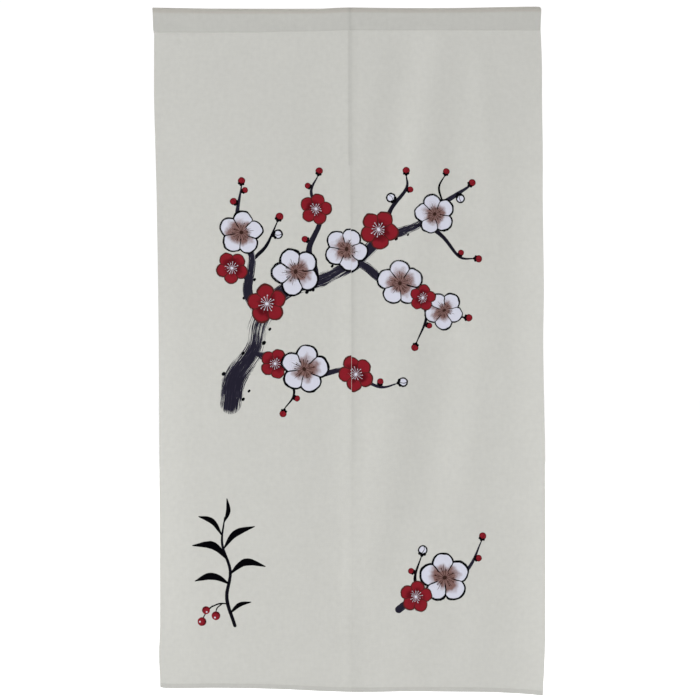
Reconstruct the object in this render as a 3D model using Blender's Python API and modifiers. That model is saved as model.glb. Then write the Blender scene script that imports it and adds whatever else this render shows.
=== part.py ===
"""Noren: a split doorway curtain, two cloth panels under a heading that is folded into a rod pocket.

Metres, +Z up. The origin is the middle of the heading's top edge. X runs across the curtain,
to the right as seen from the front, and the printed side faces -Y.
"""

import math
from collections import namedtuple

import bmesh
import bpy

# Driving dimensions
HEADING_HEIGHT = 0.052
ROD_POCKET_RADIUS = 0.0068
POCKET_DEPTH = 0.043
CLOTH = 0.0012
HEM_HEIGHT = 0.0095
HEM_THICKNESS = 0.0024
HEM_STEP = 0.0006
SEAM_THICKNESS = 0.0028
PIECE_GAP = 0.00045
PANEL_GAP = 0.00044

# How finely each surface is divided
PANEL_COLUMNS = 22
PANEL_ROWS = 38
POCKET_STATIONS = 30
POCKET_SIDE_STEPS = 12

CLOTH_COLOUR = (0.57, 0.57, 0.53, 1.0)
HEADING_COLOUR = (0.51, 0.51, 0.47, 1.0)

# The cloth's outline: distance below the top edge, and where each edge hangs at that height
EdgeRow = namedtuple("EdgeRow", "drop left middle right")
PANEL_EDGES = (
    EdgeRow(drop=0.052, left=-0.4312, middle=-0.0006, right=0.4197),
    EdgeRow(drop=0.120, left=-0.4314, middle=-0.0006, right=0.4224),
    EdgeRow(drop=0.200, left=-0.4312, middle=-0.0006, right=0.4227),
    EdgeRow(drop=0.320, left=-0.4278, middle=-0.0004, right=0.4237),
    EdgeRow(drop=0.430, left=-0.4251, middle=0.0010, right=0.4234),
    EdgeRow(drop=0.620, left=-0.4222, middle=0.0028, right=0.4255),
    EdgeRow(drop=0.740, left=-0.4213, middle=0.0030, right=0.4243),
    EdgeRow(drop=1.000, left=-0.4204, middle=0.0032, right=0.4286),
    EdgeRow(drop=1.360, left=-0.4188, middle=0.0034, right=0.4288),
    EdgeRow(drop=1.430, left=-0.4207, middle=0.0032, right=0.4270),
    EdgeRow(drop=1.500, left=-0.4176, middle=0.0030, right=0.4236),
)

# The heading's top edge: place across, and how far it stands above the middle of the edge
TopRow = namedtuple("TopRow", "x rise")
HEADING_TOP = (
    TopRow(x=-0.4345, rise=-0.0003),
    TopRow(x=-0.3740, rise=-0.0013),
    TopRow(x=-0.3080, rise=-0.0024),
    TopRow(x=-0.0660, rise=-0.0026),
    TopRow(x=-0.0260, rise=-0.0006),
    TopRow(x=0.0000, rise=0.0000),
    TopRow(x=0.0660, rise=-0.0008),
    TopRow(x=0.1540, rise=-0.0014),
    TopRow(x=0.2420, rise=-0.0009),
    TopRow(x=0.3400, rise=0.0009),
    TopRow(x=0.4000, rise=0.0019),
    TopRow(x=0.4205, rise=0.0014),
)

# The heading's foot, where the panels begin: place across, and distance below the top edge
FootRow = namedtuple("FootRow", "x drop")
HEADING_FOOT = (
    FootRow(x=-0.4320, drop=0.0556),
    FootRow(x=-0.2000, drop=0.0552),
    FootRow(x=-0.1500, drop=0.0530),
    FootRow(x=-0.0700, drop=0.0524),
    FootRow(x=-0.0200, drop=0.0506),
    FootRow(x=0.4200, drop=0.0504),
)

# The heading's two ends: distance below its crown, and where each end is there
EndRow = namedtuple("EndRow", "below left right")
HEADING_ENDS = (
    EndRow(below=0.0000, left=-0.4342, right=0.4160),
    EndRow(below=0.0030, left=-0.4346, right=0.4192),
    EndRow(below=0.0090, left=-0.4340, right=0.4206),
    EndRow(below=0.0240, left=-0.4335, right=0.4200),
    EndRow(below=0.0440, left=-0.4330, right=0.4195),
    EndRow(below=0.0520, left=-0.4320, right=0.4195),
)

# The bottom edge: place across, and its distance below the top edge
BottomRow = namedtuple("BottomRow", "x drop")
BOTTOM_EDGE = (
    BottomRow(x=-0.418, drop=1.4968),
    BottomRow(x=-0.402, drop=1.4988),
    BottomRow(x=-0.300, drop=1.4975),
    BottomRow(x=-0.160, drop=1.5000),
    BottomRow(x=-0.060, drop=1.5048),
    BottomRow(x=0.030, drop=1.5072),
    BottomRow(x=0.122, drop=1.5056),
    BottomRow(x=0.200, drop=1.5062),
    BottomRow(x=0.300, drop=1.5073),
    BottomRow(x=0.380, drop=1.5105),
    BottomRow(x=0.426, drop=1.5135),
)

# Soft folds, each running down from (x_top, top) to (x_foot, foot) below the top edge.
# A bulge below zero is a ridge that comes forward, and one above zero is a trough.
Fold = namedtuple("Fold", "x_top x_foot top foot half_width bulge fade")
FOLDS = (
    # right panel: a long ridge slants down to the left, with troughs on both sides of it
    Fold(x_top=0.211, x_foot=0.033, top=0.030, foot=1.324, half_width=0.070, bulge=-0.0031, fade=0.07),
    Fold(x_top=0.145, x_foot=0.049, top=0.030, foot=0.494, half_width=0.068, bulge=0.0039, fade=0.07),
    Fold(x_top=0.206, x_foot=0.255, top=0.034, foot=0.530, half_width=0.087, bulge=0.0020, fade=0.09),
    Fold(x_top=0.282, x_foot=0.316, top=0.036, foot=0.520, half_width=0.033, bulge=-0.0006, fade=0.08),
    Fold(x_top=0.247, x_foot=0.148, top=0.574, foot=1.232, half_width=0.081, bulge=0.0057, fade=0.24),
    Fold(x_top=0.327, x_foot=0.303, top=0.750, foot=1.360, half_width=0.055, bulge=0.0014, fade=0.24),
    # right panel, near its foot
    Fold(x_top=0.177, x_foot=0.070, top=1.268, foot=1.562, half_width=0.067, bulge=-0.0013, fade=0.12),
    Fold(x_top=0.265, x_foot=0.183, top=1.280, foot=1.516, half_width=0.054, bulge=0.0019, fade=0.12),
    Fold(x_top=0.339, x_foot=0.293, top=1.264, foot=1.576, half_width=0.054, bulge=0.0009, fade=0.12),
    # its outer edge comes forward
    Fold(x_top=0.483, x_foot=0.488, top=0.070, foot=1.890, half_width=0.135, bulge=-0.0178, fade=0.50),
    Fold(x_top=0.446, x_foot=0.452, top=0.060, foot=1.750, half_width=0.050, bulge=-0.0018, fade=0.30),
    # left panel: almost flat, bowed a little forward, and its outer edge goes back lower down
    Fold(x_top=-0.057, x_foot=-0.043, top=0.032, foot=1.334, half_width=0.079, bulge=0.0014, fade=0.12),
    Fold(x_top=-0.280, x_foot=-0.260, top=0.050, foot=1.668, half_width=0.320, bulge=-0.0060, fade=0.30),
    Fold(x_top=-0.550, x_foot=-0.493, top=0.500, foot=1.620, half_width=0.180, bulge=0.0196, fade=0.40),
    # below the sewn centre seam the two free edges stand a little forward
    Fold(x_top=0.0012, x_foot=0.0034, top=0.380, foot=1.600, half_width=0.030, bulge=-0.0010, fade=0.10),
)


def ramp(value):
    """0 below 0, 1 above 1, and an even rise between."""
    value = min(max(value, 0.0), 1.0)
    return value * value * (3.0 - 2.0 * value)


def bell(offset):
    """A soft bump: 1 at 0, falling to 0 at 1 on either side."""
    return 0.5 + 0.5 * math.cos(math.pi * min(abs(offset), 1.0))


def read_rows(rows, key, column, at):
    """A column's value at a place along the rows, on a smooth curve through them."""
    places = [getattr(row, key) for row in rows]
    values = [getattr(row, column) for row in rows]
    at = min(max(at, places[0]), places[-1])
    last = len(places) - 1
    i = max(k for k in range(last) if places[k] <= at)

    def slope(k):
        low, high = max(k - 1, 0), min(k + 1, last)
        return (values[high] - values[low]) / (places[high] - places[low])

    span = places[i + 1] - places[i]
    t = (at - places[i]) / span
    rise = values[i + 1] - values[i]
    ease = ramp(t)
    return (
        values[i]
        + rise * ease
        + span * slope(i) * t * (1.0 - t) ** 2
        - span * slope(i + 1) * t * t * (1.0 - t)
    )


def fold_depth(x, drop):
    """How far back the cloth hangs at a place, from all the folds together."""
    depth = 0.0
    for fold in FOLDS:
        share = (drop - fold.top) / (fold.foot - fold.top)
        line = fold.x_top + (fold.x_foot - fold.x_top) * min(max(share, 0.0), 1.0)
        ends = ramp((drop - fold.top) / fold.fade) * ramp((fold.foot - drop) / fold.fade)
        depth += fold.bulge * ends * bell((x - line) / fold.half_width)
    return depth


def link_object(name, mesh, colour):
    """A named object with its own cloth material, in the curtain's collection."""
    material = bpy.data.materials.new(name + "_cloth")
    material.use_nodes = True
    shader = material.node_tree.nodes["Principled BSDF"]
    shader.inputs["Base Color"].default_value = colour
    shader.inputs["Roughness"].default_value = 0.9
    shader.inputs["Metallic"].default_value = 0.0
    material.diffuse_color = colour
    mesh.materials.append(material)
    made = bpy.data.objects.new(name, mesh)
    bpy.data.collections["noren_curtain"].objects.link(made)
    return made


def unit_grid(columns, rows):
    """A flat grid of squares from 0 to 1 both ways, for a function to put in place."""
    grid = bmesh.new()
    bmesh.ops.create_grid(grid, x_segments=columns, y_segments=rows, size=0.5)
    for vert in grid.verts:
        vert.co.x += 0.5
        vert.co.y += 0.5
    return grid


def teardrop(t, radius, depth, foot):
    """Half the pocket's section, from the crown at t = 0 down to the seam at t = 1.

    Gives the half thickness and the distance below the crown.
    """
    crown_end = 4 / POCKET_SIDE_STEPS
    foot_start = 1.0 - 1 / POCKET_SIDE_STEPS
    if t <= crown_end:
        angle = 0.5 * math.pi * t / crown_end
        return radius * math.sin(angle), radius * (1.0 - math.cos(angle))
    if t >= foot_start:
        return foot * (1.0 - t) / (1.0 - foot_start), depth
    share = (t - crown_end) / (foot_start - crown_end)
    return foot + (radius - foot) * (1.0 - ramp(share)), radius + (depth - radius) * share


def pocket_point(station, around):
    """A point of the pocket: out along the outside, back along the inside, and round to the start."""
    station = station % (2 * POCKET_STATIONS + 2)
    outside = station <= POCKET_STATIONS
    along = station if outside else 2 * POCKET_STATIONS + 1 - station
    towards_end = 2.0 * along / POCKET_STATIONS - 1.0
    front = around <= 0.5
    t = 2.0 * around if front else 2.0 * (1.0 - around)
    if outside:
        half, below = teardrop(t, ROD_POCKET_RADIUS, HEADING_HEIGHT, SEAM_THICKNESS / 2)
    else:
        inner_radius = ROD_POCKET_RADIUS - CLOTH
        half, below = teardrop(t, inner_radius, POCKET_DEPTH - CLOTH, CLOTH / 8)
        below += CLOTH
    y = -half if front else half
    reach = read_rows(HEADING_ENDS, "below", "right" if towards_end > 0.0 else "left", below)
    x = reach * abs(towards_end) ** 1.25
    hang = ramp(below / HEADING_HEIGHT)
    rise = read_rows(HEADING_TOP, "x", "rise", x) * (1.0 - hang)
    sink = (read_rows(HEADING_FOOT, "x", "drop", x) - HEADING_HEIGHT) * hang
    return x, y + fold_depth(x, below) * hang, rise - sink - below


def build_heading():
    """The flat tube of cloth that the rod goes through, open at both ends."""
    columns = 2 * POCKET_STATIONS + 2
    grid = unit_grid(columns, 2 * POCKET_SIDE_STEPS)
    for vert in grid.verts:
        vert.co = pocket_point(round(vert.co.x * columns), vert.co.y)
    bmesh.ops.remove_doubles(grid, verts=grid.verts, dist=0.00001)
    bmesh.ops.recalc_face_normals(grid, faces=grid.faces)
    mesh = bpy.data.meshes.new("heading_casing")
    grid.to_mesh(mesh)
    grid.free()
    mesh.shade_smooth()
    mesh.set_sharp_from_angle(angle=math.radians(50.0))
    link_object("heading_casing", mesh, HEADING_COLOUR)


def build_panel(name, side):
    """One hanging panel: side is -1 for the left and 1 for the right one.

    The front face carries the folds. Solidify gives the thickness behind it, and the hem,
    turned up at the back, is the thicker band along the bottom.
    """
    grid = unit_grid(PANEL_COLUMNS, PANEL_ROWS)
    weights = grid.verts.layers.deform.verify()
    body_rows = PANEL_ROWS - 2
    outer = "right" if side > 0 else "left"
    for vert in grid.verts:
        across = vert.co.x ** 1.2
        row = round(vert.co.y * PANEL_ROWS)
        share = row / body_rows
        drop = HEADING_HEIGHT + (1.5 - HEADING_HEIGHT) * min(share, 1.0)
        inner_edge = read_rows(PANEL_EDGES, "drop", "middle", drop) + side * PANEL_GAP / 2
        outer_edge = read_rows(PANEL_EDGES, "drop", outer, drop)
        x = inner_edge + (outer_edge - inner_edge) * across
        bottom = read_rows(BOTTOM_EDGE, "x", "drop", x)
        top = read_rows(HEADING_FOOT, "x", "drop", x) + PIECE_GAP
        if row <= body_rows:
            drop = top + (bottom - HEM_HEIGHT - top) * share
        else:
            drop = bottom if row == PANEL_ROWS else bottom - HEM_HEIGHT + HEM_STEP
        vert[weights][0] = 1.0 if row > body_rows else 0.0
        vert.co = (x, fold_depth(x, drop) - CLOTH / 2, -drop)
    bmesh.ops.recalc_face_normals(grid, faces=grid.faces)
    grid.faces.ensure_lookup_table()
    if grid.faces[0].normal.y > 0.0:
        bmesh.ops.reverse_faces(grid, faces=grid.faces)
    mesh = bpy.data.meshes.new(name)
    grid.to_mesh(mesh)
    grid.free()
    panel = link_object(name, mesh, CLOTH_COLOUR)
    panel.vertex_groups.new(name="hem")
    thickness = panel.modifiers.new("cloth thickness", "SOLIDIFY")
    thickness.thickness = HEM_THICKNESS
    thickness.offset = -1.0
    thickness.vertex_group = "hem"
    thickness.thickness_vertex_group = CLOTH / HEM_THICKNESS


for old in list(bpy.data.objects):
    bpy.data.objects.remove(old, do_unlink=True)
collection = bpy.data.collections.new("noren_curtain")
bpy.context.scene.collection.children.link(collection)

build_heading()
build_panel("panel_left", -1)
build_panel("panel_right", 1)
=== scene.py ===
import math
from collections import namedtuple

import bmesh
import bpy
from mathutils import Matrix, Vector, noise


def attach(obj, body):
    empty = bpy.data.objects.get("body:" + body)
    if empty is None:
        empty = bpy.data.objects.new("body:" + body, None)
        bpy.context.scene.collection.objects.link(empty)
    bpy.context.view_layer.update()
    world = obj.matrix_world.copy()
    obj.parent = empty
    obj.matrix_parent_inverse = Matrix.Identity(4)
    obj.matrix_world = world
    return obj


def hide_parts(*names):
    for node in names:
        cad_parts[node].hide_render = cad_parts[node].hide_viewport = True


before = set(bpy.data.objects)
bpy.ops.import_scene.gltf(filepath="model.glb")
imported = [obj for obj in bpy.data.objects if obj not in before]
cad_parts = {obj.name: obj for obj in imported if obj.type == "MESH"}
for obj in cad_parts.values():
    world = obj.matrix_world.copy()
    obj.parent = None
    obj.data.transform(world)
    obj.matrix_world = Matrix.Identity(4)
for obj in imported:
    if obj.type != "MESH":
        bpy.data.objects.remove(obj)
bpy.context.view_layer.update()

# --------------------------------------------------------------------
# Where it is seen from
# The curtain is looked at straight on, from far enough back for its sides to stay parallel.
# Its cloth nearly fills the height of a square picture.
# --------------------------------------------------------------------
PICTURE_WIDTH_AT_CLOTH = 1.541
PICTURE_CENTRE = (0.0, -0.754)
VIEW_DISTANCE = 4.2
SENSOR_WIDTH_MM = 36.0

camera_data = bpy.data.cameras.new("front_view")
camera_data.type = "PERSP"
camera_data.sensor_width = SENSOR_WIDTH_MM
camera_data.lens = SENSOR_WIDTH_MM * VIEW_DISTANCE / PICTURE_WIDTH_AT_CLOTH
camera = bpy.data.objects.new("front_view", camera_data)
camera.location = (PICTURE_CENTRE[0], -VIEW_DISTANCE, PICTURE_CENTRE[1])
camera.rotation_euler = (math.radians(90.0), 0.0, 0.0)
bpy.context.scene.collection.objects.link(camera)
bpy.context.scene.camera = camera

# --------------------------------------------------------------------
# How the cloth hangs
# Two lengths of plain-weave cloth hang side by side from the heading, almost flat. The right
# one has soft folds that fan out from the heading, and both stray a little from true.
# --------------------------------------------------------------------
HEADING_HEIGHT = 0.052
PANEL_WIDTH = 0.425
CURTAIN_LENGTH = 1.500
SOLID_THICKNESS = 0.0012
CLOTH_THICKNESS = 0.0005
PIECE_GAP = 0.0001
PANEL_GAP = 0.00044

# distance below the top edge, and where each edge hangs at that height
EdgeRow = namedtuple("EdgeRow", "drop left middle right")
PANEL_EDGES = (
    EdgeRow(0.052, -0.4312, -0.0006, 0.4197),
    EdgeRow(0.120, -0.4314, -0.0006, 0.4224),
    EdgeRow(0.200, -0.4312, -0.0006, 0.4227),
    EdgeRow(0.320, -0.4278, -0.0004, 0.4237),
    EdgeRow(0.430, -0.4251, 0.0010, 0.4234),
    EdgeRow(0.620, -0.4222, 0.0028, 0.4255),
    EdgeRow(0.740, -0.4213, 0.0030, 0.4243),
    EdgeRow(1.000, -0.4204, 0.0032, 0.4286),
    EdgeRow(1.360, -0.4188, 0.0034, 0.4288),
    EdgeRow(1.430, -0.4207, 0.0032, 0.4270),
    EdgeRow(1.500, -0.4176, 0.0030, 0.4236),
)

# a place across an edge, and its distance below the top edge
EdgePoint = namedtuple("EdgePoint", "x drop")
BOTTOM_EDGE = (
    EdgePoint(-0.418, 1.4968),
    EdgePoint(-0.402, 1.4988),
    EdgePoint(-0.300, 1.4975),
    EdgePoint(-0.160, 1.5000),
    EdgePoint(-0.060, 1.5048),
    EdgePoint(0.030, 1.5072),
    EdgePoint(0.122, 1.5056),
    EdgePoint(0.200, 1.5062),
    EdgePoint(0.300, 1.5073),
    EdgePoint(0.380, 1.5105),
    EdgePoint(0.426, 1.5135),
)

# where the panels begin
HEADING_FOOT = (
    EdgePoint(-0.4320, 0.0556),
    EdgePoint(-0.2000, 0.0552),
    EdgePoint(-0.1500, 0.0530),
    EdgePoint(-0.0700, 0.0524),
    EdgePoint(-0.0200, 0.0506),
    EdgePoint(0.4200, 0.0504),
)

# soft folds from (x_top, top) to (x_foot, foot); a bulge below zero comes forward
Fold = namedtuple("Fold", "x_top x_foot top foot half_width bulge fade")
FOLDS = (
    # right panel: a long ridge slants down to the left, with troughs on both sides of it
    Fold(x_top=0.211, x_foot=0.033, top=0.030, foot=1.324, half_width=0.070, bulge=-0.0031, fade=0.07),
    Fold(x_top=0.145, x_foot=0.049, top=0.030, foot=0.494, half_width=0.068, bulge=0.0039, fade=0.07),
    Fold(x_top=0.206, x_foot=0.255, top=0.034, foot=0.530, half_width=0.087, bulge=0.0020, fade=0.09),
    Fold(x_top=0.282, x_foot=0.316, top=0.036, foot=0.520, half_width=0.033, bulge=-0.0006, fade=0.08),
    Fold(x_top=0.247, x_foot=0.148, top=0.574, foot=1.232, half_width=0.081, bulge=0.0057, fade=0.24),
    Fold(x_top=0.327, x_foot=0.303, top=0.750, foot=1.360, half_width=0.055, bulge=0.0014, fade=0.24),
    # right panel, near its foot
    Fold(x_top=0.177, x_foot=0.070, top=1.268, foot=1.562, half_width=0.067, bulge=-0.0013, fade=0.12),
    Fold(x_top=0.265, x_foot=0.183, top=1.280, foot=1.516, half_width=0.054, bulge=0.0019, fade=0.12),
    Fold(x_top=0.339, x_foot=0.293, top=1.264, foot=1.576, half_width=0.054, bulge=0.0009, fade=0.12),
    # its outer edge comes forward
    Fold(x_top=0.483, x_foot=0.488, top=0.070, foot=1.890, half_width=0.135, bulge=-0.0178, fade=0.50),
    Fold(x_top=0.446, x_foot=0.452, top=0.060, foot=1.750, half_width=0.050, bulge=-0.0018, fade=0.30),
    # left panel: almost flat, bowed a little forward, and its outer edge goes back lower down
    Fold(x_top=-0.057, x_foot=-0.043, top=0.032, foot=1.334, half_width=0.079, bulge=0.0014, fade=0.12),
    Fold(x_top=-0.280, x_foot=-0.260, top=0.050, foot=1.668, half_width=0.320, bulge=-0.0060, fade=0.30),
    Fold(x_top=-0.550, x_foot=-0.493, top=0.500, foot=1.620, half_width=0.180, bulge=0.0196, fade=0.40),
    # below the sewn centre seam the two free edges stand a little forward
    Fold(x_top=0.0012, x_foot=0.0034, top=0.380, foot=1.600, half_width=0.030, bulge=-0.0010, fade=0.10),
)


def ramp(value):
    value = min(max(value, 0.0), 1.0)
    return value * value * (3.0 - 2.0 * value)


def bell(offset):
    return 0.5 + 0.5 * math.cos(math.pi * min(abs(offset), 1.0))


def read_rows(rows, key, column, at):
    """A column's value at a place along the rows, on a smooth curve through them."""
    places = [getattr(row, key) for row in rows]
    values = [getattr(row, column) for row in rows]
    at = min(max(at, places[0]), places[-1])
    last = len(places) - 1
    i = max(k for k in range(last) if places[k] <= at)

    def slope(k):
        low, high = max(k - 1, 0), min(k + 1, last)
        return (values[high] - values[low]) / (places[high] - places[low])

    span = places[i + 1] - places[i]
    t = (at - places[i]) / span
    rise = values[i + 1] - values[i]
    return (
        values[i]
        + rise * ramp(t)
        + span * slope(i) * t * (1.0 - t) ** 2
        - span * slope(i + 1) * t * t * (1.0 - t)
    )


def fold_depth(x, drop):
    """How far back the cloth hangs at a place, from all the folds together."""
    depth = 0.0
    for fold in FOLDS:
        if not fold.top < drop < fold.foot:
            continue
        share = (drop - fold.top) / (fold.foot - fold.top)
        line = fold.x_top + (fold.x_foot - fold.x_top) * share
        offset = (x - line) / fold.half_width
        if abs(offset) < 1.0:
            ends = ramp((drop - fold.top) / fold.fade) * ramp((fold.foot - drop) / fold.fade)
            depth += fold.bulge * ends * bell(offset)
    return depth


# --------------------------------------------------------------------
# The cloth itself
# A matt plain-weave cloth in pale grey-green ecru, with slightly uneven yarns both ways. It is
# thin, and lets less light through where more cloth or a rod lies behind it, as in a hem: painted
# shade darkens it there.
# --------------------------------------------------------------------
CLOTH_COLOUR = (0.592, 0.591, 0.558)
# painted shadow of the rod on the cloth over it, warmer and darker, from the crown down to the foot of the
# rod's shadow
ROD_SHADOW_COLOUR = (0.598, 0.578, 0.531)
ROD_SHADOW_FOOT = 0.0110
ROD_SHADOW_BLUR = 0.0010
YARN_PITCH = 0.0011
# painted shade for each layer of cloth or rod behind, as the thin cloth lets less light through there
BACKED_SHADE = 0.893


class Signal:
    """A value in a node tree. Python's own signs on it add the Math nodes."""

    def __init__(self, socket):
        self.socket = socket
        self.tree = socket.id_data

    def maths(self, operation, *others, **settings):
        return wire(self.tree, "ShaderNodeMath", self, *others, operation=operation, **settings)

    def __add__(self, other):
        return self.maths("ADD", other)

    def __sub__(self, other):
        return self.maths("SUBTRACT", other)

    def __rsub__(self, other):
        return wire(self.tree, "ShaderNodeMath", other, self, operation="SUBTRACT")

    def __mul__(self, other):
        return self.maths("MULTIPLY", other)

    def __truediv__(self, other):
        return self.maths("DIVIDE", other)

    def __abs__(self):
        return self.maths("ABSOLUTE")

    __radd__ = __add__
    __rmul__ = __mul__

    def fade(self, low, high):
        """Rises softly from 0 at low to 1 at high, or falls where low is the larger."""
        return wire(
            self.tree, "ShaderNodeMapRange", self, low, high, 0.0, 1.0, interpolation_type="SMOOTHSTEP"
        )

    def parts(self):
        return [wire(self.tree, "ShaderNodeSeparateXYZ", self, out=i) for i in range(3)]


def wire(tree, kind, *feeds, out=0, **settings):
    """Adds a node, feeds its inputs in order with signals or plain values, and gives one output."""
    node = tree.nodes.new(kind)
    for name, value in settings.items():
        setattr(node, name, value)
    for socket, feed in zip(node.inputs, feeds):
        if isinstance(feed, Signal):
            tree.links.new(feed.socket, socket)
        elif feed is not None:
            socket.default_value = feed
    return Signal(node.outputs[out])


def vector(tree, x, y, z=0.0):
    return wire(tree, "ShaderNodeCombineXYZ", x, y, z)


def grain(tree, place, scale, detail=2.0, roughness=0.5, out=0):
    """Soft noise between 0 and 1, or a colour of three noises with out=1."""
    return wire(tree, "ShaderNodeTexNoise", place, None, scale, detail, roughness, out=out)


def tint(tree, share, under, over):
    """One colour over another, each a signal or a plain colour, by a share."""
    under, over = (c if isinstance(c, Signal) else (*c, 1.0) for c in (under, over))
    feeds = (share, None, None, None, None, None, under, over)
    return wire(tree, "ShaderNodeMix", *feeds, out=2, data_type="RGBA")


def open_group(name, inputs, outputs):
    """A node group with named sockets: gives the group and its inputs as signals."""
    group = bpy.data.node_groups.new(name, "ShaderNodeTree")
    for way, sockets in (("INPUT", inputs), ("OUTPUT", outputs)):
        for socket_name, kind in sockets.items():
            group.interface.new_socket(socket_name, in_out=way, socket_type="NodeSocket" + kind)
    feeds = group.nodes.new("NodeGroupInput").outputs
    return group, [Signal(feeds[name]) for name in inputs]


def close_group(group, *results):
    output = group.nodes.new("NodeGroupOutput")
    for socket, result in zip(output.inputs, results):
        group.links.new(result.socket, socket)
    return group


def use_group(tree, group, *feeds):
    """Places a group in a tree, and gives all its outputs as signals."""
    node = tree.nodes.new("ShaderNodeGroup")
    node.node_tree = group
    for socket, feed in zip(node.inputs, feeds):
        tree.links.new(feed.socket, socket)
    return [Signal(socket) for socket in node.outputs]


def weave_group():
    """Yarns over and under each other, read from the cloth's flat map in metres."""
    group, _ = open_group("plain_weave", {}, {"Height": "Float", "Shade": "Float"})
    place = wire(group, "ShaderNodeUVMap", uv_map="cloth")
    across, down, _ = place.parts()
    warp = (across * (math.pi / YARN_PITCH)).maths("SINE")
    weft = (down * (math.pi / YARN_PITCH)).maths("SINE")
    slubs = [
        grain(group, wire(group, "ShaderNodeVectorMath", place, stretch, operation="MULTIPLY"), 1.0)
        for stretch in ((620.0, 34.0, 0.0), (34.0, 620.0, 0.0))
    ]
    slub = slubs[0] + slubs[1]
    height = abs(warp) + abs(weft) + 0.5 * (warp * weft) + 1.6 * slub
    mottle = 0.118 * grain(group, place, 95.0, 3.0) + 0.04 * grain(group, place, 17.0)
    shade = 0.045 * slub + mottle + 0.876
    return close_group(group, height, shade)


WEAVE = weave_group()

# --------------------------------------------------------------------
# The brushwork of the print
# A plum bough is printed across both panels as if with a broad dry brush, and a berried sprig
# and a cut twig stand near the foot. The ink is charcoal where dry, and black where wet.
# --------------------------------------------------------------------
CHARCOAL_INK = (0.0170, 0.0152, 0.0280)
BLACK_INK = (0.0012, 0.0012, 0.0020)
GREY_WASH = (0.0900, 0.0850, 0.1150)
BRISTLE_WIDTH = 0.0021

# each touch of the brush is its place across, its drop, and half the stroke's width there
Stroke = namedtuple("Stroke", "layer dryness touches")

# dots of moss along the bough, and along its upright branch
MOSS_DOTS = (
    ("twig", -0.282, 0.807, 0.0040),
    ("twig", -0.239, 0.762, 0.0034),
    ("twig", -0.193, 0.739, 0.0042),
    ("twig", -0.180, 0.709, 0.0030),
    ("twig", -0.098, 0.627, 0.0038),
    ("twig", -0.084, 0.623, 0.0027),
    ("twig", 0.100, 0.507, 0.0036),
    ("twig", 0.126, 0.498, 0.0024),
    ("twig", -0.042, 0.570, 0.0030),
    ("twig", -0.239, 0.863, 0.0034),
    ("twig", -0.226, 0.845, 0.0028),
    ("bough", -0.236, 0.640, 0.0034),
    ("bough", -0.213, 0.600, 0.0030),
    ("bough", -0.234, 0.596, 0.0026),
)


def moss_dot(layer, x, drop, half):
    """One press of the wet brush, drawn a little way up."""
    return Stroke(layer, 0.0, ((x, drop, half), (x + 0.0014, drop - 0.0016, half * 0.9)))


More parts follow.
